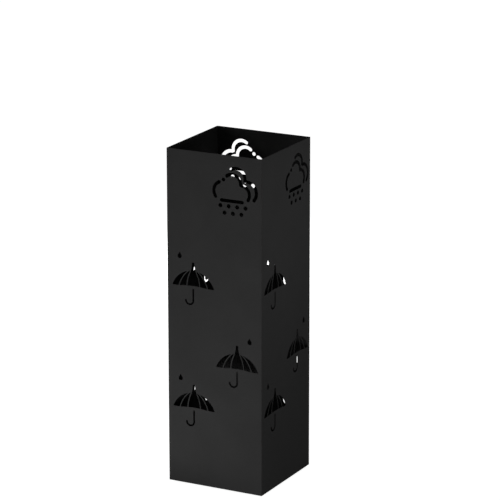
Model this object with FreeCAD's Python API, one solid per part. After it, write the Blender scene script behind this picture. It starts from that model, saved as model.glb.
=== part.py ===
"""Square umbrella stand in bent sheet steel.

Two identical L-shaped shells, each bent from one sheet, lap at two opposite corners and form the
four walls.  Every wall has the same motifs cut through it: a rain cloud, three open umbrellas and
three raindrops.  A folded base pan closes the bottom, a moulded drip tray lifts out through the
top, and four rubber pads carry the stand.

Millimetres, +Z up.  The origin is on the floor under the middle of the stand.  The front wall
faces -Y and the right wall faces +X.
"""

import FreeCAD, Part
import math
import os

from FreeCAD import Vector

# ------------------------------------------------------------------ driving dimensions
# Shells
side_width = 149.0          # outer width of each wall
wall_height = 490.0         # height of the sheet, without the pads
sheet = 0.5                 # steel sheet
bend_inner = 0.6            # inner radius of every bend
edge_round = 0.15           # powder-coated rounding of the rim and the bottom edge
lap_width = 7.0             # lap flange behind the neighbouring wall, clear of the cut-outs
lap_top_drop = 3.0          # the lap flange starts this far below the rim
lap_pan_gap = 2.0           # and ends this far above the pan's flange
lap_chamfer = 3.0           # on the lap flange's free corners

# Spot welds: shallow round dimples on the inner side
weld_diameter = 3.5
weld_depth = 0.15
weld_margin = 10.0          # from a flange's end to its first weld
lap_weld_pitch = 75.0       # greatest distance between two welds of a lap
pan_weld_pitch = 50.0       # greatest distance between two welds of a pan flange

# Base pan
pan_flange = 12.0           # height of the upturned flanges, from the pan's underside
pan_notch = 3.5             # square relief where two flanges meet

# Rubber pads
pad_diameter = 16.0
pad_height = 2.0
pad_inset = 22.0            # from a wall's outer face to the pad's centre
pad_round = 0.5

# Drip tray
tray_clearance = 0.7        # between the tray's lip and the lap flanges
tray_height = 22.0
tray_wall = 1.6
tray_lip = 1.4              # the lip stands out from the wall by this much
tray_lip_round = 0.6
tray_draft = 1.5            # taper of the walls, in degrees
tray_corner = 9.0           # outer corner radius
tray_base_round = 3.0       # radius between the tray's floor and its walls
tray_rib_height = 1.2
tray_rib_width = 1.6
tray_rib_round = 0.5
tray_rib_count = 5
tray_rib_margin = 10.0      # from a rib's end to the tray's inner wall

# Motifs, as seen from outside a wall
left_margin = 7.5           # from the wall's left edge to the tips of the left umbrellas
right_margin = 5.4          # from the wall's right edge to the right umbrella
left_umbrella_heights = (113.3, 293.2)    # from the wall's bottom edge to each hem
right_umbrella_height = 181.1

canopy_half = 33.4          # half the canopy's width
canopy_rise = 23.6          # from the hem to the top of the canopy's arc
hem_half = 22.5             # half the width of the hem's arched part
hem_rise = 1.6              # rise of the arched part
rib_width = 1.45            # uncut strip between two side gores
# Lines of the right half, right of and above the middle of the hem
rib_line = ((22.7, 0.0), (17.3, 12.0), (8.8, 22.0))          # middle of the uncut strip
gore_line = ((10.9, 0.0), (9.3, 12.0), (5.0, 23.0))          # inner edge of the inner side gore
middle_gore_halves = (9.2, 9.7)      # from its middle to its left and right edges at the hem
spire_height = 35.8         # spire's tip above the hem
spire_half = 1.8            # half the spire's width at its tip
flare_start = 0.5           # share of the spire's height at which its sides turn concave

handle_gap = 4.0            # sheet left between the middle of the hem and the handle
handle_width = 2.65
handle_depth = 27.4         # from the middle of the hem to the middle of the hook's lowest point
hook_radius = 5.9           # middle line of the hook

drop_radius = 3.3
drop_tip = 6.4              # tip above the centre of the drop's round part
drop_left = (-21.3, 42.8)   # left umbrella's drop from the middle of the hem
drop_right = (19.8, 43.0)   # right umbrella's drop

cloud_top = 15.0            # from the rim to the cloud's top edge
cloud_right = 5.5           # from the wall's right edge to the cloud
cloud_stroke = 4.9          # width of every line of the cloud
# Lobes: centre right of and above the middle of the bar, and radius; then first and last angle
front_lobes = ((-14.5, 12.8, 13.7), (0.5, 25.0, 13.2), (14.8, 11.2, 12.6))
front_lobe_angles = ((112, 218), (-3, 129), (-34, 93))          # in degrees
back_lobes = ((6.8, 33.6, 13.7), (23.1, 15.0, 15.2))
back_lobe_angles = ((-11, 125), (-42, 95))          # in degrees
puff = (-13.1, 29.6, 2.7)   # the dot between two lobes: its centre and radius
bar_length = 32.5           # between the centres of the bar's round ends
rain_radius = 3.05
rain_pitch = 13.1
rain_offset = 1.6           # from the middle of the bar to the middle of the rain
rain_depths = (7.8, 17.7)   # from the bar's middle line to each row of dots
rain_counts = (4, 3)        # dots in each row

overcut = 2.0               # every cutter runs this far past the sheet

# ------------------------------------------------------------------ what follows from them
half = side_width / 2
bend_outer = bend_inner + sheet
floor_z = pad_height                     # underside of the steel
rim_z = floor_z + wall_height
pan_half = half - sheet                  # the pan's flanges lie against the walls
pan_top = floor_z + sheet
pan_rim = floor_z + pan_flange
lap_face = half - 2 * sheet              # inner face of a lap flange and of a pan flange
lap_low = pan_rim + lap_pan_gap
lap_high = rim_z - lap_top_drop

UP = Vector(0, 0, 1)
OUT = Vector(0, -1, 0)                   # the front wall's outward normal


def turned(shape, quarter_turns):
    """A copy of shape, turned about the stand's vertical axis."""
    copy = shape.copy()
    copy.rotate(Vector(0, 0, 0), UP, 90.0 * quarter_turns)
    return copy


def joined(shapes):
    """One clean shape from shapes that overlap or touch."""
    first, *others = shapes
    return first.multiFuse(others).removeSplitter()


def line(a, b):
    return Part.LineSegment(a, b).toShape()


def face_within(edges):
    """Flat face inside a closed loop of edges, which may come in any order."""
    return Part.Face(Part.Wire(Part.__sortEdges__(edges)))


# ------------------------------------------------------------------ bent sheet
def rounded_path(points, radius):
    """Edges along points, with each inner corner rounded to radius."""
    edges = []
    start = points[0]
    for before, corner, after in zip(points, points[1:], points[2:]):
        arriving = (corner - before).normalize()
        leaving = (after - corner).normalize()
        turn = arriving.getAngle(leaving)
        reach = radius * math.tan(turn / 2)
        first = corner - arriving * reach
        last = corner + leaving * reach
        inward = (leaving - arriving).normalize()
        middle = corner + inward * (radius / math.cos(turn / 2) - radius)
        edges.append(line(start, first))
        edges.append(Part.Arc(first, middle, last).toShape())
        start = last
    edges.append(line(start, points[-1]))
    return edges


def bent_section(points, normal):
    """Section of a bent sheet whose outer face follows points, turning left about normal."""
    legs = [(b - a).normalize() for a, b in zip(points, points[1:])]
    sides = [normal.cross(leg) for leg in legs]
    inner = [points[0] + sides[0] * sheet]
    for corner, a, b in zip(points[1:], sides, sides[1:]):
        inner.append(corner + (a + b) * (sheet / (1 + a.dot(b))))
    inner.append(points[-1] + sides[-1] * sheet)
    outline = rounded_path(points, bend_outer) + rounded_path(inner, bend_inner)
    outline.append(line(points[0], inner[0]))
    outline.append(line(points[-1], inner[-1]))
    return face_within(outline)


def evenly(first, last, pitch):
    """Places from first to last, at equal steps no longer than pitch."""
    steps = max(1, math.ceil((last - first) / pitch))
    return [first + (last - first) * i / steps for i in range(steps + 1)]


def weld_dimple(place, direction):
    """Cutter for one spot weld, sunk into the sheet at place along direction."""
    start = place - direction * overcut
    return Part.makeCylinder(weld_diameter / 2, overcut + weld_depth, start, direction)


# ------------------------------------------------------------------ cutters for the front wall
def on_wall(right, up):
    """Point of the front wall's outer plane, from the wall's left and bottom edges."""
    return Vector(right - half, -half, floor_z + up)


def beside(point, right, up):
    """Point of the wall right of and above another."""
    return point + Vector(right, 0, up)


def polar(centre, radius, angle):
    """Point about centre, its angle in degrees from the right and anticlockwise."""
    return beside(centre, radius * math.cos(math.radians(angle)), radius * math.sin(math.radians(angle)))


def arc(centre, radius, first, last):
    """Arc about centre between two angles."""
    return Part.Arc(*[polar(centre, radius, a) for a in (first, (first + last) / 2, last)]).toShape()


def through(edges):
    """Prism that takes an outline on the front wall right through the sheet."""
    prism = face_within(edges).extrude(OUT * -(sheet + 2 * overcut))
    prism.translate(OUT * overcut)
    return prism


def disc(centre, radius):
    return through([Part.Circle(centre, OUT, radius).toShape()])


def round_end(a, b):
    """Half circle from a to b that bulges to the right of that direction."""
    return Part.Arc(a, (a + b + (b - a).cross(OUT)) * 0.5, b).toShape()


def straight_slot(a, b, width):
    """Slot of one width between two points, with round ends."""
    aside = OUT.cross((b - a).normalize()) * (width / 2)
    return through([
        line(a + aside, b + aside),
        line(a - aside, b - aside),
        round_end(a + aside, a - aside),
        round_end(b - aside, b + aside),
    ])


def curved_slot(centre, radius, first, last, width):
    """Slot of one width along an arc, with round ends."""
    near, far = radius - width / 2, radius + width / 2
    return through([
        arc(centre, near, first, last),
        arc(centre, far, first, last),
        round_end(polar(centre, near, first), polar(centre, far, first)),
        round_end(polar(centre, far, last), polar(centre, near, last)),
    ])


# ------------------------------------------------------------------ umbrella
# Each function takes the middle of the straight line between the hem's corners.
def side_line(hem, points, side):
    """Arc through three points on the right (side 1) or left (side -1) half."""
    return Part.Arc(*[beside(hem, side * x, y) for x, y in points]).toShape()


def bow(hem, half_width, rise):
    """Arc over the middle of the hem, from one side to the other."""
    return side_line(hem, ((-half_width, 0), (0, rise), (half_width, 0)), 1)


def canopy(hem):
    """Whole canopy: a segment of a circle over an arched hem."""
    return through([
        bow(hem, canopy_half, canopy_rise),
        bow(hem, hem_half, hem_rise),
        line(beside(hem, -canopy_half, 0), beside(hem, -hem_half, 0)),
        line(beside(hem, hem_half, 0), beside(hem, canopy_half, 0)),
    ])


def rib(hem, side):
    """Curved strip that stays uncut between two side gores."""
    middle = side_line(hem, rib_line, side).Curve
    ring = disc(middle.Center, middle.Radius + rib_width / 2).cut(
        disc(middle.Center, middle.Radius - rib_width / 2))
    left_end = min(0, side * canopy_half)
    corner = beside(hem, left_end, -overcut) + OUT * (2 * overcut)
    keep = Part.makeBox(canopy_half, sheet + 4 * overcut, canopy_rise + 2 * overcut, corner)
    return ring.common(keep)


def middle_zone(hem):
    """All between the inner side gores, run on past the canopy."""
    edges = [side_line(hem, gore_line, side) for side in (1, -1)]
    for (x, y), end in ((gore_line[0], -overcut), (gore_line[-1], canopy_rise + overcut)):
        corners = [beside(hem, *spot) for spot in ((-x, y), (-x, end), (x, end), (x, y))]
        edges += [line(a, b) for a, b in zip(corners, corners[1:])]
    return through(edges)


def ogee(hem, half_width, side):
    """One side of the middle gore and spire: two arcs that meet tangentially, upright at both ends."""
    run = (half_width - spire_half) * (1 - flare_start)
    rise = spire_height * (1 - flare_start)
    flare = (run ** 2 + rise ** 2) / (2 * run)
    swell = flare * flare_start / (1 - flare_start)
    turn = math.asin(rise / flare)
    turns = (0, turn / 2, turn)
    spire = [(spire_half + flare * (1 - math.cos(a)), spire_height - flare * math.sin(a)) for a in turns]
    gore = [(half_width - swell * (1 - math.cos(a)), swell * math.sin(a)) for a in turns]
    return [side_line(hem, spire, side), side_line(hem, gore, side)]


def middle_gore(hem):
    """Middle gore and spire in one opening, a little wider on the right."""
    left, right = middle_gore_halves
    outline = through(ogee(hem, left, -1) + ogee(hem, right, 1) + [
        line(beside(hem, -spire_half, spire_height), beside(hem, spire_half, spire_height)),
        line(beside(hem, -left, 0), beside(hem, right, 0)),
    ])
    below_hem = through([
        bow(hem, hem_half, hem_rise),
        line(beside(hem, -hem_half, 0), beside(hem, hem_half, 0)),
    ])
    return outline.cut(below_hem)


def handle(hem):
    """Crook handle: a straight slot that ends in a half-turn to the left."""
    top = beside(hem, 0, hem_rise - handle_gap - handle_width / 2)
    bend = beside(hem, 0, hem_rise - handle_depth + hook_radius)
    shank = straight_slot(top, bend, handle_width)
    hook = curved_slot(beside(bend, -hook_radius, 0), hook_radius, 180, 360, handle_width)
    return joined([shank, hook])


def umbrella(hem):
    """Open umbrella: four side gores, the middle gore and the handle."""
    uncut = Part.makeCompound([rib(hem, -1), rib(hem, 1), middle_zone(hem)])
    return canopy(hem).cut(uncut).Solids + [middle_gore(hem), handle(hem)]


def raindrop(centre):
    """Round drop that runs up to a point: two tangents from the tip to the circle."""
    touch_up = drop_radius ** 2 / drop_tip
    touch_side = math.sqrt(drop_radius ** 2 - touch_up ** 2)
    tip, low = beside(centre, 0, drop_tip), beside(centre, 0, -drop_radius)
    left, right = beside(centre, -touch_side, touch_up), beside(centre, touch_side, touch_up)
    return through([line(left, tip), line(tip, right), Part.Arc(left, low, right).toShape()])


def rain_cloud(bar):
    """Two clouds, one behind the other, over a bar and rows of round drops, from the bar's middle."""
    cutters = []
    for lobes, angles in ((front_lobes, front_lobe_angles), (back_lobes, back_lobe_angles)):
        strokes = [curved_slot(beside(bar, x, y), radius, first, last, cloud_stroke)
                   for (x, y, radius), (first, last) in zip(lobes, angles)]
        cutters += joined(strokes).Solids
    x, y, radius = puff
    cutters.append(disc(beside(bar, x, y), radius))
    ends = [beside(bar, side * bar_length / 2, 0) for side in (-1, 1)]
    cutters.append(straight_slot(*ends, cloud_stroke))
    for depth, count in zip(rain_depths, rain_counts):
        for i in range(count):
            across = rain_offset + (i - (count - 1) / 2) * rain_pitch
            cutters.append(disc(beside(bar, across, -depth), rain_radius))
    return cutters


def wall_motifs():
    """Every cut-out of the front wall."""
    hems = [(on_wall(left_margin + canopy_half, height), drop_left) for height in left_umbrella_heights]
    right = side_width - right_margin - canopy_half
    hems.append((on_wall(right, right_umbrella_height), drop_right))
    cutters = []
    for hem, drop in hems:
        cutters += umbrella(hem)
        cutters.append(raindrop(beside(hem, *drop)))

    top_lobe, right_lobe = back_lobes
    bar_right = side_width - cloud_right - cloud_stroke / 2 - right_lobe[2] - right_lobe[0]
    bar_up = wall_height - cloud_top - cloud_stroke / 2 - top_lobe[2] - top_lobe[1]
    return cutters + rain_cloud(on_wall(bar_right, bar_up))


# ------------------------------------------------------------------ pieces
def lap_trim():
    """Cutter that shortens the lap flange at both ends and chamfers its free corners."""
    start, end = half - bend_outer, half - lap_width
    flange = [
        Vector(start, lap_face, lap_low),
        Vector(end + lap_chamfer, lap_face, lap_low),
        Vector(end, lap_face, lap_low + lap_chamfer),
        Vector(end, lap_face, lap_high - lap_chamfer),
        Vector(end + lap_chamfer, lap_face, lap_high),
        Vector(start, lap_face, lap_high),
    ]
    kept = Part.Face(Part.makePolygon(flange + flange[:1])).extrude(Vector(0, sheet, 0))
    corner = Vector(end - overcut, lap_face, floor_z - overcut)
    return Part.makeBox(start - end + overcut, sheet, wall_height + 2 * overcut, corner).cut(kept)


def shell():
    """Front and right walls from one sheet, with the lap flange that goes behind the back wall."""
    path = [
        Vector(-half, -half, floor_z),
        Vector(half, -half, floor_z),
        Vector(half, pan_half, floor_z),
        Vector(half - lap_width, pan_half, floor_z),
    ]
    solid = bent_section(path, UP).extrude(UP * wall_height)
    long_edges = [e for e in solid.Edges if e.BoundBox.ZLength < 0.01 and e.Length > 1.01 * sheet]
    solid = solid.makeFillet(min(edge_round, 0.4 * sheet), long_edges)

    motifs = wall_motifs()
    motifs += [turned(cutter, 1) for cutter in motifs]
    middle = half - (lap_width + bend_outer) / 2
    dimples = [weld_dimple(Vector(middle, lap_face, z), -OUT)
               for z in evenly(lap_low + weld_margin, lap_high - weld_margin, lap_weld_pitch)]
    return solid.cut(lap_trim()).cut(Part.makeCompound(motifs + dimples))


def base_pan():
    """Folded pan: a flat base with four upturned flanges, relieved at its corners."""
    path = [
        Vector(0, 0, floor_z),
        Vector(pan_half, 0, floor_z),
        Vector(pan_half, 0, pan_rim),
    ]
    side_half = pan_half - pan_notch
    side = bent_section(path, OUT).extrude(OUT * (-2 * side_half))
    side.translate(OUT * side_half)
    weld_z = (pan_top + bend_inner + pan_rim) / 2
    weld_end = side_half - weld_margin
    dimples = [weld_dimple(Vector(lap_face, y, weld_z), Vector(1, 0, 0))
               for y in evenly(-weld_end, weld_end, pan_weld_pitch)]
    side = side.cut(Part.makeCompound(dimples))
    return joined([turned(side, i) for i in range(4)])


def tapered_block(low_half, top_half, low, high, corner):
    """Square block with rounded upright edges that widens from low_half to top_half."""
    block = Part.makeWedge(-low_half, low, -low_half, -top_half, -top_half,
                           low_half, high, low_half, top_half, top_half)
    block.rotate(Vector(0, 0, 0), Vector(1, 0, 0), 90)
    uprights = [e for e in block.Edges if e.BoundBox.ZLength > (high - low) / 2]
    return block.makeFillet(corner, uprights)


def rounded_below(block, low, radius):
    """block with the edge round its lowest face, at height low, rounded."""
    return block.makeFillet(radius, [e for e in block.Edges if e.BoundBox.ZMax < low + 0.01])


def tray_rib(across, span, low):
    """Low rib on the tray's floor, along X, with round ends and a rounded top."""
    thick = tray_rib_width / 2
    height = tray_wall / 2 + tray_rib_height
    body = Part.makeBox(span, 2 * thick, height, Vector(-span / 2, across - thick, low))
    ends = [Part.makeCylinder(thick, height, Vector(x, across, low)) for x in (-span / 2, span / 2)]
    solid = joined([body] + ends)
    top_edges = [e for e in solid.Edges if e.BoundBox.ZMin > low + height / 2]
    return solid.makeFillet(min(tray_rib_round, 0.8 * thick), top_edges)


def tray():
    """Drip tray: tapered walls, a flat lip round the rim and low ribs on its floor."""
    base = pan_top
    top = base + tray_height
    taper = math.tan(math.radians(tray_draft))
    lip_half = lap_face - tray_clearance
    top_half = lip_half - tray_lip
    low_half = top_half - tray_height * taper
    outer = tapered_block(low_half, top_half, base, top, tray_corner)
    outer = rounded_below(outer, base, tray_base_round)

    floor_top = base + tray_wall
    hollow_top = top_half - tray_wall
    hollow_low = hollow_top - (tray_height - tray_wall) * taper
    hollow = tapered_block(hollow_low, hollow_top, floor_top, top, tray_corner - tray_wall)
    hollow = rounded_below(hollow, floor_top, tray_base_round - tray_wall)

    lip = tapered_block(lip_half, lip_half, top - tray_wall, top, tray_corner + tray_lip)
    lip = lip.makeFillet(tray_lip_round, [e for e in lip.Edges if e.BoundBox.ZLength < 0.01])
    solid = joined([outer, lip]).cut(hollow)

    reach = hollow_low - tray_rib_margin
    ribs = [tray_rib(y, 2 * reach, floor_top - tray_wall / 2)
            for y in evenly(-reach, reach, 2 * reach / (tray_rib_count - 1))]
    return joined([solid] + ribs)


def pad():
    """Round rubber pad under the front right corner."""
    place = half - pad_inset
    cylinder = Part.makeCylinder(pad_diameter / 2, pad_height, Vector(place, -place, 0))
    return rounded_below(cylinder, 0, pad_round)


def main():
    front_right = shell()
    pieces = {
        "shell_front_right": front_right,
        "shell_back_left": turned(front_right, 2),
        "base_pan": base_pan(),
        "drip_tray": tray(),
    }
    front_right_pad = pad()
    for i, corner in enumerate(("front_right", "back_right", "back_left", "front_left")):
        pieces["foot_pad_" + corner] = turned(front_right_pad, i)

    os.makedirs("parts", exist_ok=True)
    for name, shape in pieces.items():
        if len(shape.Solids) != 1 or not shape.isValid():
            raise RuntimeError(name + " isn't one valid solid")
        shape.Solids[0].exportStep(os.path.join("parts", name + ".step"))
        print(name, "volume", round(shape.Volume / 1000, 1), "cm3")


main()
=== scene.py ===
"""Looks of the square umbrella stand: powder-coated sheet steel, a moulded drip tray and rubber pads."""

import math

import bmesh
import bpy
import numpy as np
from mathutils import Matrix, Vector


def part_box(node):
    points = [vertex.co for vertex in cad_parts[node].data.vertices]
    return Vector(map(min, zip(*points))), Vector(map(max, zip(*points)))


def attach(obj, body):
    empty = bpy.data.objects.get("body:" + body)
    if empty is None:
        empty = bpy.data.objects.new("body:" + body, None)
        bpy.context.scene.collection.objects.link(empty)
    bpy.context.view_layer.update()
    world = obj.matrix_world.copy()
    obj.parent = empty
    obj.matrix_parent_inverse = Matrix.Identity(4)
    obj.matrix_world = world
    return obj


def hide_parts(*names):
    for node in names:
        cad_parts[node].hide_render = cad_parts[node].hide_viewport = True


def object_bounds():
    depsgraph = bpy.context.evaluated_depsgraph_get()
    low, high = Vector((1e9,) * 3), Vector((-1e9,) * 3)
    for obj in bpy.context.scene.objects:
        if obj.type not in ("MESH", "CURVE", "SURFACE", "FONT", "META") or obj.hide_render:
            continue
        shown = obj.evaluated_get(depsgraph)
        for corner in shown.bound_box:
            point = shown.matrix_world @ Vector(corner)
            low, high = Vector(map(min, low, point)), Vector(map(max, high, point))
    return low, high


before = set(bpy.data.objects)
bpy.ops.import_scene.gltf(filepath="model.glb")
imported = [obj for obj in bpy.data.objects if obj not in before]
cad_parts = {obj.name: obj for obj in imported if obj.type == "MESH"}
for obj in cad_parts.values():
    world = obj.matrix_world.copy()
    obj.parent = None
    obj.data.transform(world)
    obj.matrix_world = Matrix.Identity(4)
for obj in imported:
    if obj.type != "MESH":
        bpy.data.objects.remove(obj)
cad_low, cad_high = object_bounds()

# ------------------------------------------------------------------ named sizes, in metres
COAT_RADIUS = 0.00018       # powder coat flows round a cut edge
TRAY_RADIUS = 0.0003        # moulded edges of the tray
EDGE_ANGLE = 50             # degrees; flatter edges are only smoothed
FLAT_ANGLE = 0.5            # degrees; faces that turn less than this are one flat face
MERGE = 1e-6                # corners nearer than this are one

CUT_EDGE = "cut_edge"       # face attribute of the walls: where the painted shade inside the cut-outs goes
WALL_DEPTH = 0.0006         # a little more than the sheet
WALL_CORNER = 0.002         # clear of the bends, the rim and the bottom edge
ALONG = 0.5                 # a face whose normal leans less than this towards the wall's outside is an edge
PAINTED_CUT_SHADE = 0.3        # painted shade inside the cut-outs: their faces take this share of the walls' colour

PAD_GROOVES = (0.0021, 0.0038, 0.0055)      # radius of each groove in a pad's underside
PAD_GROOVE_DEPTH = 0.0005
PAD_GROOVE_HALF = 0.00045
PAD_ROUND = 0.0005
PAD_SIDES = 72
GROOVE_STEPS = 9            # points across a groove
ROUND_STEPS = 7             # points round a pad's rim

WHITE = 1.0                 # what the background shows
ROOM = 0.04                 # even light from all round
FLOOR_HALF = 8.0
FLOOR_DROP = -0.0001        # just clear of the pads' undersides
FLOOR_COLOUR = 0.6
FLOOR_NEAR_GLOW = 0.86      # share of the white that isn't light from the lamps
GLOW_NEAR = 0.35            # distances from the stand between which that share rises to all of it
GLOW_FAR = 1.1

# name, azimuth and elevation in degrees, distance, aim height, width, height, power in watts
PANELS = (
    ("window", -60, 18, 1.5, 0.15, 0.9, 0.9, 7.5),
    ("low_front_light", -5, 0, 0.95, 0.14, 0.7, 0.12, 3.3),
    ("low_corner_light", 22, 0, 0.95, 0.14, 0.7, 0.12, 3.5),
    ("right_light", 90, 5, 0.45, 0.4, 0.3, 0.15, 0.93),
    ("back_light", -135, 5, 1.3, 0.2, 0.9, 0.3, 6),
)
TABLE_LIGHT = ((-0.15, -0.2, 0.004), 0.3, 0.12, 0.32)       # place, width, depth, power

DOWNLIGHT_HEIGHT = 2.4
DOWNLIGHT_CONE = math.radians(4.2)          # so narrow that it reaches only into the stand
DOWNLIGHT_POWER = 9
DOWNLIGHT_FADE = 0.5        # share of the cone over which it fades out
DOWNLIGHT_RADIUS = 0.02


# ------------------------------------------------------------------ camera
AZIMUTH = math.radians(27.741)
ELEVATION = math.radians(15.741)
ROLL = math.radians(-0.089)
DISTANCE = 4.25454          # from the plane through the stand's axis
AIM_HEIGHT = 0.23752
AIM_RIGHT = 0.015284        # the stand stands left of the middle of the view
AIM_UP = 0.093836           # and low in it
LENS = 215.16               # millimetres, on a sensor 36 mm wide
SENSOR = 36
VIEW_END = 50


def direction(azimuth, elevation):
    """Unit vector towards a place seen at these angles; azimuth 0 is in front, 90 degrees is right."""
    flat = math.cos(elevation)
    return Vector((math.sin(azimuth) * flat, -math.cos(azimuth) * flat, math.sin(elevation)))


def make_camera():
    """Long lens at the height of a seated viewer, turned to the front right corner."""
    back = direction(AZIMUTH, ELEVATION)
    right = Vector((math.cos(AZIMUTH), math.sin(AZIMUTH), 0))
    up = back.cross(right)
    camera = bpy.data.objects.new("camera", bpy.data.cameras.new("camera"))
    bpy.context.scene.collection.objects.link(camera)
    camera.data.sensor_width = SENSOR
    camera.data.lens = LENS
    camera.data.clip_end = VIEW_END
    camera.location = Vector((0, 0, AIM_HEIGHT)) + back * DISTANCE + right * AIM_RIGHT + up * AIM_UP
    turn = Matrix((right, up, back)).transposed().to_4x4() @ Matrix.Rotation(ROLL, 4, "Z")
    camera.rotation_euler = turn.to_euler()
    bpy.context.scene.camera = camera


# ------------------------------------------------------------------ materials
def grey(value):
    """Opaque neutral colour."""
    return value, value, value, 1


class Recipe:
    """A material under construction: node and link helpers round one Principled shader."""

    def __init__(self, name):
        self.material = bpy.data.materials.new(name)
        self.material.use_nodes = True
        self.tree = self.material.node_tree
        self.shader = self.tree.nodes["Principled BSDF"]
        self.place = self.node("ShaderNodeTexCoord").outputs["Object"]

    def node(self, kind, **settings):
        made = self.tree.nodes.new(kind)
        for name, value in settings.items():
            setattr(made, name, value)
        return made

    def set(self, socket, value):
        if isinstance(value, bpy.types.NodeSocket):
            self.tree.links.new(value, socket)
        else:
            socket.default_value = value

    def noise(self, size, detail=2.0, rough=0.5):
        """Noise about 0.5 whose lumps are size metres apart."""
        made = self.node("ShaderNodeTexNoise")
        self.set(made.inputs["Vector"], self.place)
        self.set(made.inputs["Scale"], 1 / size)
        self.set(made.inputs["Detail"], detail)
        self.set(made.inputs["Roughness"], rough)
        return made.outputs["Fac"]

    def spread(self, value, low, high, start=0.3, end=0.7):
        """value from start to end becomes low to high."""
        made = self.node("ShaderNodeMapRange")
        for socket, number in zip(made.inputs, (value, start, end, low, high)):
            self.set(socket, number)
        return made.outputs["Result"]

    def sums(self, *terms):
        """Adds heights, each a pair of a socket and its share in metres."""
        total = 0.0
        for value, share in terms:
            made = self.node("ShaderNodeMath", operation="MULTIPLY_ADD")
            self.set(made.inputs[0], value)
            self.set(made.inputs[1], share)
            self.set(made.inputs[2], total)
            total = made.outputs[0]
        return total

    def bump(self, height):
        """Relief whose height is in metres."""
        made = self.node("ShaderNodeBump")
        self.set(made.inputs["Distance"], 1.0)
        self.set(made.inputs["Height"], height)
        self.set(self.shader.inputs["Normal"], made.outputs["Normal"])

    def tone(self, dark, light, value):
        """Colour that runs from dark to light as value runs from 0 to 1."""
        made = self.node("ShaderNodeMix", data_type="RGBA")
        self.set(made.inputs["Factor"], value)
        self.set(made.inputs["A"], dark)
        self.set(made.inputs["B"], light)
        self.set(self.shader.inputs["Base Color"], made.outputs["Result"])

    def marked(self, attribute):
        """Value of a mesh attribute."""
        return self.node("ShaderNodeAttribute", attribute_name=attribute).outputs["Fac"]

    def darken(self, mark, share):
        """Takes the colour down to a share of itself where mark is 1."""
        socket = self.shader.inputs["Base Color"]
        colour = socket.links[0].from_socket
        made = self.node("ShaderNodeMix", data_type="RGBA", blend_type="MULTIPLY")
        self.set(made.inputs["Factor"], mark)
        self.set(made.inputs["A"], colour)
        self.set(made.inputs["B"], grey(share))
        self.set(socket, made.outputs["Result"])


def powder_coat():
    """Black fine-texture powder coat: fused grains, orange peel, a little uneven in gloss, and painted shade
    on the faces inside the cut-outs.
    """
    recipe = Recipe("black powder coat")
    grain = recipe.noise(size=0.00045, detail=3)
    peel = recipe.noise(size=0.0028, detail=1)
    cloud = recipe.noise(size=0.06, detail=3)
    recipe.tone(grey(0.0185), grey(0.0215), recipe.spread(cloud, 0, 1))
    # painted shade: the faces inside the cut-outs are darkened to a share of the coat's colour
    recipe.darken(recipe.marked(CUT_EDGE), PAINTED_CUT_SHADE)
    recipe.set(recipe.shader.inputs["Roughness"], recipe.spread(cloud, 0.82, 0.88))
    recipe.set(recipe.shader.inputs["Specular IOR Level"], 0.02)
    recipe.bump(recipe.sums((grain, 0.00004), (peel, 0.00005)))
    return recipe.material


def moulded_plastic():
    """Black polypropylene with a fine spark-eroded grain."""
    recipe = Recipe("black polypropylene")
    grain = recipe.noise(size=0.0006, detail=4, rough=0.65)
    flow = recipe.noise(size=0.03, detail=2)
    recipe.tone((0.012, 0.012, 0.0125, 1), (0.016, 0.016, 0.0165, 1), recipe.spread(flow, 0, 1))
    recipe.set(recipe.shader.inputs["Roughness"], recipe.spread(flow, 0.42, 0.52))
    recipe.set(recipe.shader.inputs["Specular IOR Level"], 0.35)
    recipe.bump(recipe.sums((grain, 0.00003)))
    return recipe.material


def pad_rubber():
    """Dark grey rubber: matt, with a fine moulded grain and a dusty bloom."""
    recipe = Recipe("dark grey rubber")
    grain = recipe.noise(size=0.0004, detail=3)
    bloom = recipe.noise(size=0.004, detail=3)
    recipe.tone((0.022, 0.022, 0.023, 1), grey(0.034), recipe.spread(bloom, 0, 1))
    recipe.set(recipe.shader.inputs["Roughness"], recipe.spread(bloom, 0.75, 0.88))
    recipe.bump(recipe.sums((grain, 0.00002)))
    return recipe.material


# ------------------------------------------------------------------ pieces
def mark_cut_edges(mesh):
    """Face attribute that places painted shade: 1 on the narrow faces inside the walls' cut-outs, 0 on every
    other face.

    Such a face lies within a wall's thickness, faces along the wall, and is clear of the bends, of
    the rim and of the bottom edge.
    """
    side = cad_high.x
    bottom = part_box("shell_front_right")[0].z
    top = cad_high.z
    count = len(mesh.polygons)
    centres, normals = np.empty((count, 3)), np.empty((count, 3))
    mesh.polygons.foreach_get("center", centres.ravel())
    mesh.polygons.foreach_get("normal", normals.ravel())
    reach = np.abs(centres[:, :2])
    wall = reach.argmax(axis=1)
    rows = np.arange(count)
    within = reach[rows, wall] > side - WALL_DEPTH
    along = np.abs(normals[rows, wall]) < ALONG
    off_bends = reach[rows, 1 - wall] < side - WALL_CORNER
    height = centres[:, 2]
    off_rims = (height > bottom + WALL_CORNER) & (height < top - WALL_CORNER)
    marks = mesh.attributes.new(CUT_EDGE, "FLOAT", "FACE")
    marks.data.foreach_set("value", (within & along & off_bends & off_rims).astype(np.float32))


def link(name, mesh, material, body, slot, *nodes):
    """The finished piece: rides on its body and stands for those CAD nodes."""
    piece = bpy.data.objects.new(name, mesh)
    bpy.context.scene.collection.objects.link(piece)
    piece.data.materials.append(material)
    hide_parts(*nodes)
    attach(piece, body)
    return piece


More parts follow.
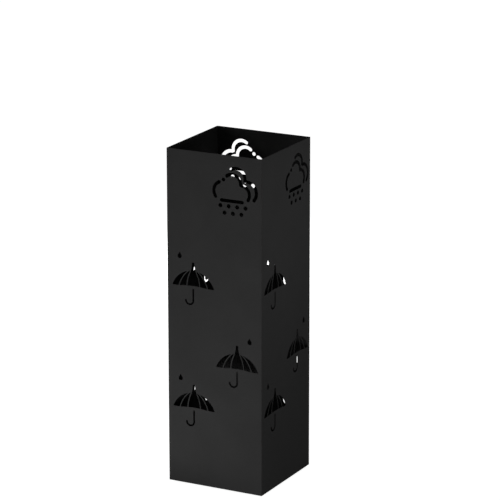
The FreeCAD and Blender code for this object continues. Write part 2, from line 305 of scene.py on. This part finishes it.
def softened(name, node, material, body, slot, radius):
    """A node's own surface with merged corners, flat faces made whole and its edges rounded."""
    work = bmesh.new()
    work.from_mesh(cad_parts[node].data)
    bmesh.ops.remove_doubles(work, verts=work.verts, dist=MERGE)
    bmesh.ops.dissolve_limit(work, angle_limit=math.radians(FLAT_ANGLE), verts=work.verts,
                             edges=work.edges, use_dissolve_boundaries=False)
    mesh = bpy.data.meshes.new(name)
    work.to_mesh(mesh)
    work.free()
    mesh.polygons.foreach_set("use_smooth", np.ones(len(mesh.polygons), dtype=bool))
    mesh.set_sharp_from_angle(angle=math.radians(EDGE_ANGLE))
    mark_cut_edges(mesh)
    piece = link(name, mesh, material, body, slot, node)
    bevel = piece.modifiers.new("coat", "BEVEL")
    bevel.width = radius
    bevel.segments = 2
    bevel.limit_method = "ANGLE"
    bevel.angle_limit = math.radians(EDGE_ANGLE)
    bevel.harden_normals = True
    bevel.use_clamp_overlap = True
    return piece


def turned_surface(name, centre, profile):
    """Mesh of a profile of (radius, height) pairs turned about an upright axis through centre.

    The profile starts and ends on the axis, and each end is closed by a fan round one point.
    """
    angles = np.linspace(0, 2 * math.pi, PAD_SIDES, endpoint=False)
    rings = np.array(profile[1:-1])
    count = len(rings)
    ring = np.stack([np.outer(rings[:, 0], np.cos(angles)), np.outer(rings[:, 0], np.sin(angles)),
                     np.repeat(rings[:, 1:], PAD_SIDES, axis=1)], axis=-1).reshape(-1, 3)
    poles = np.array([(0, 0, profile[0][1]), (0, 0, profile[-1][1])])
    points = np.vstack([ring, poles]) + np.array([centre[0], centre[1], 0])
    faces = []
    for i in range(PAD_SIDES):
        j = (i + 1) % PAD_SIDES
        for k in range(count - 1):
            a, b = k * PAD_SIDES, (k + 1) * PAD_SIDES
            faces.append((a + i, a + j, b + j, b + i))
        faces.append((count * PAD_SIDES, j, i))
        last = (count - 1) * PAD_SIDES
        faces.append((count * PAD_SIDES + 1, last + i, last + j))
    mesh = bpy.data.meshes.new(name)
    mesh.from_pydata(points.tolist(), [], faces)
    mesh.polygons.foreach_set("use_smooth", np.ones(len(mesh.polygons), dtype=bool))
    return mesh


def pad_profile(radius, height):
    """From the middle of the underside outwards and up: grooves as half waves, then a rounded rim.

    A groove's depth follows the square of a cosine across its width.
    """
    profile = [(0.0, 0.0)]
    for groove in PAD_GROOVES:
        for step in np.linspace(-1, 1, GROOVE_STEPS):
            depth = PAD_GROOVE_DEPTH * math.cos(step * math.pi / 2) ** 2
            profile.append((groove + step * PAD_GROOVE_HALF, depth))
    for turn in np.linspace(0, math.pi / 2, ROUND_STEPS):
        profile.append((radius - PAD_ROUND * (1 - math.sin(turn)), PAD_ROUND * (1 - math.cos(turn))))
    profile += [(radius, height), (0.0, height)]
    return profile


def make_pads(material):
    """Grooved round pads, each in the place of its node."""
    for node in [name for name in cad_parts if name.startswith("foot_pad")]:
        low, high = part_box(node)
        centre = (low + high) / 2
        radius = (high.x - low.x) / 2
        name = node.replace("foot_pad", "grooved_pad")
        mesh = turned_surface(name, centre, pad_profile(radius, high.z - low.z))
        link(name, mesh, material, "frame", "pad_rubber", node)


def make_pieces():
    """Every visible piece: the steel sheets, the tray and the pads."""
    coat, plastic, rubber = powder_coat(), moulded_plastic(), pad_rubber()
    steel = ("frame", "powder_coated_steel", COAT_RADIUS)
    softened("front_and_right_walls", "shell_front_right", coat, *steel)
    softened("back_and_left_walls", "shell_back_left", coat, *steel)
    softened("base", "base_pan", coat, *steel)
    softened("lift_out_tray", "drip_tray", plastic, "tray", "tray_plastic", TRAY_RADIUS)
    make_pads(rubber)


# ------------------------------------------------------------------ stage
def seen_or_mirrored(tree):
    """Value that is 1 for rays from the camera, from reflections and through glass, and 0 for the rest."""
    path = tree.nodes.new("ShaderNodeLightPath")
    total = path.outputs["Is Camera Ray"]
    for name in ("Is Glossy Ray", "Is Transmission Ray"):
        made = tree.nodes.new("ShaderNodeMath")
        made.operation = "MAXIMUM"
        tree.links.new(total, made.inputs[0])
        tree.links.new(path.outputs[name], made.inputs[1])
        total = made.outputs[0]
    return total


def make_world():
    """White where it is seen or mirrored, and a weak even light to everything else."""
    world = bpy.data.worlds.new("studio")
    world.use_nodes = True
    nodes, links = world.node_tree.nodes, world.node_tree.links
    background = nodes["Background"]
    mix = nodes.new("ShaderNodeMix")
    mix.data_type = "RGBA"
    mix.inputs["A"].default_value = grey(ROOM)
    mix.inputs["B"].default_value = grey(WHITE)
    links.new(seen_or_mirrored(world.node_tree), mix.inputs["Factor"])
    links.new(mix.outputs["Result"], background.inputs["Color"])
    bpy.context.scene.world = world


def make_floor():
    """Pale floor that takes the stand's shadow and runs out to white."""
    recipe = Recipe("white table")
    sockets = recipe.shader.inputs
    recipe.set(sockets["Base Color"], grey(FLOOR_COLOUR))
    recipe.set(sockets["Roughness"], 0.9)
    recipe.set(sockets["Specular IOR Level"], 0.1)
    length = recipe.node("ShaderNodeVectorMath", operation="LENGTH")
    recipe.set(length.inputs[0], recipe.place)
    rising = recipe.spread(length.outputs["Value"], FLOOR_NEAR_GLOW, WHITE, GLOW_NEAR, GLOW_FAR)
    glow = recipe.node("ShaderNodeMath", operation="MULTIPLY")
    recipe.set(glow.inputs[0], rising)
    recipe.set(glow.inputs[1], seen_or_mirrored(recipe.tree))
    recipe.set(sockets["Emission Color"], grey(WHITE))
    recipe.set(sockets["Emission Strength"], glow.outputs[0])
    mesh = bpy.data.meshes.new("floor")
    corners = [(x * FLOOR_HALF, y * FLOOR_HALF, FLOOR_DROP) for x, y in ((-1, -1), (1, -1), (1, 1), (-1, 1))]
    mesh.from_pydata(corners, [], [(0, 1, 2, 3)])
    floor = bpy.data.objects.new("floor", mesh)
    bpy.context.scene.collection.objects.link(floor)
    floor.data.materials.append(recipe.material)


def make_lamp(name, kind, place, away, power):
    """Lamp that shines against the direction away and isn't seen itself."""
    lamp = bpy.data.lights.new(name, kind)
    lamp.energy = power
    body = bpy.data.objects.new(name, lamp)
    bpy.context.scene.collection.objects.link(body)
    body.location = place
    body.rotation_euler = away.to_track_quat("Z", "Y").to_euler()
    body.visible_camera = False
    return lamp


def make_panel(name, place, away, wide, high, power):
    """Soft rectangular lamp."""
    lamp = make_lamp(name, "AREA", place, away, power)
    lamp.shape = "RECTANGLE"
    lamp.size, lamp.size_y = wide, high


def make_lamps():
    """Panels round the stand, one on the table in front of it, and a downlight for the tray."""
    for name, azimuth, elevation, distance, height, wide, high, power in PANELS:
        away = direction(math.radians(azimuth), math.radians(elevation))
        make_panel(name, Vector((0, 0, height)) + away * distance, away, wide, high, power)
    place, wide, deep, power = TABLE_LIGHT
    make_panel("table_light", place, Vector((0, 0, -1)), wide, deep, power)
    lamp = make_lamp("downlight", "SPOT", (0, 0, DOWNLIGHT_HEIGHT), Vector((0, 0, 1)), DOWNLIGHT_POWER)
    lamp.spot_size = DOWNLIGHT_CONE
    lamp.spot_blend = DOWNLIGHT_FADE
    lamp.shadow_soft_size = DOWNLIGHT_RADIUS


make_pieces()
make_camera()
make_world()
make_floor()
make_lamps()
bpy.context.scene.view_settings.view_transform = "Standard"
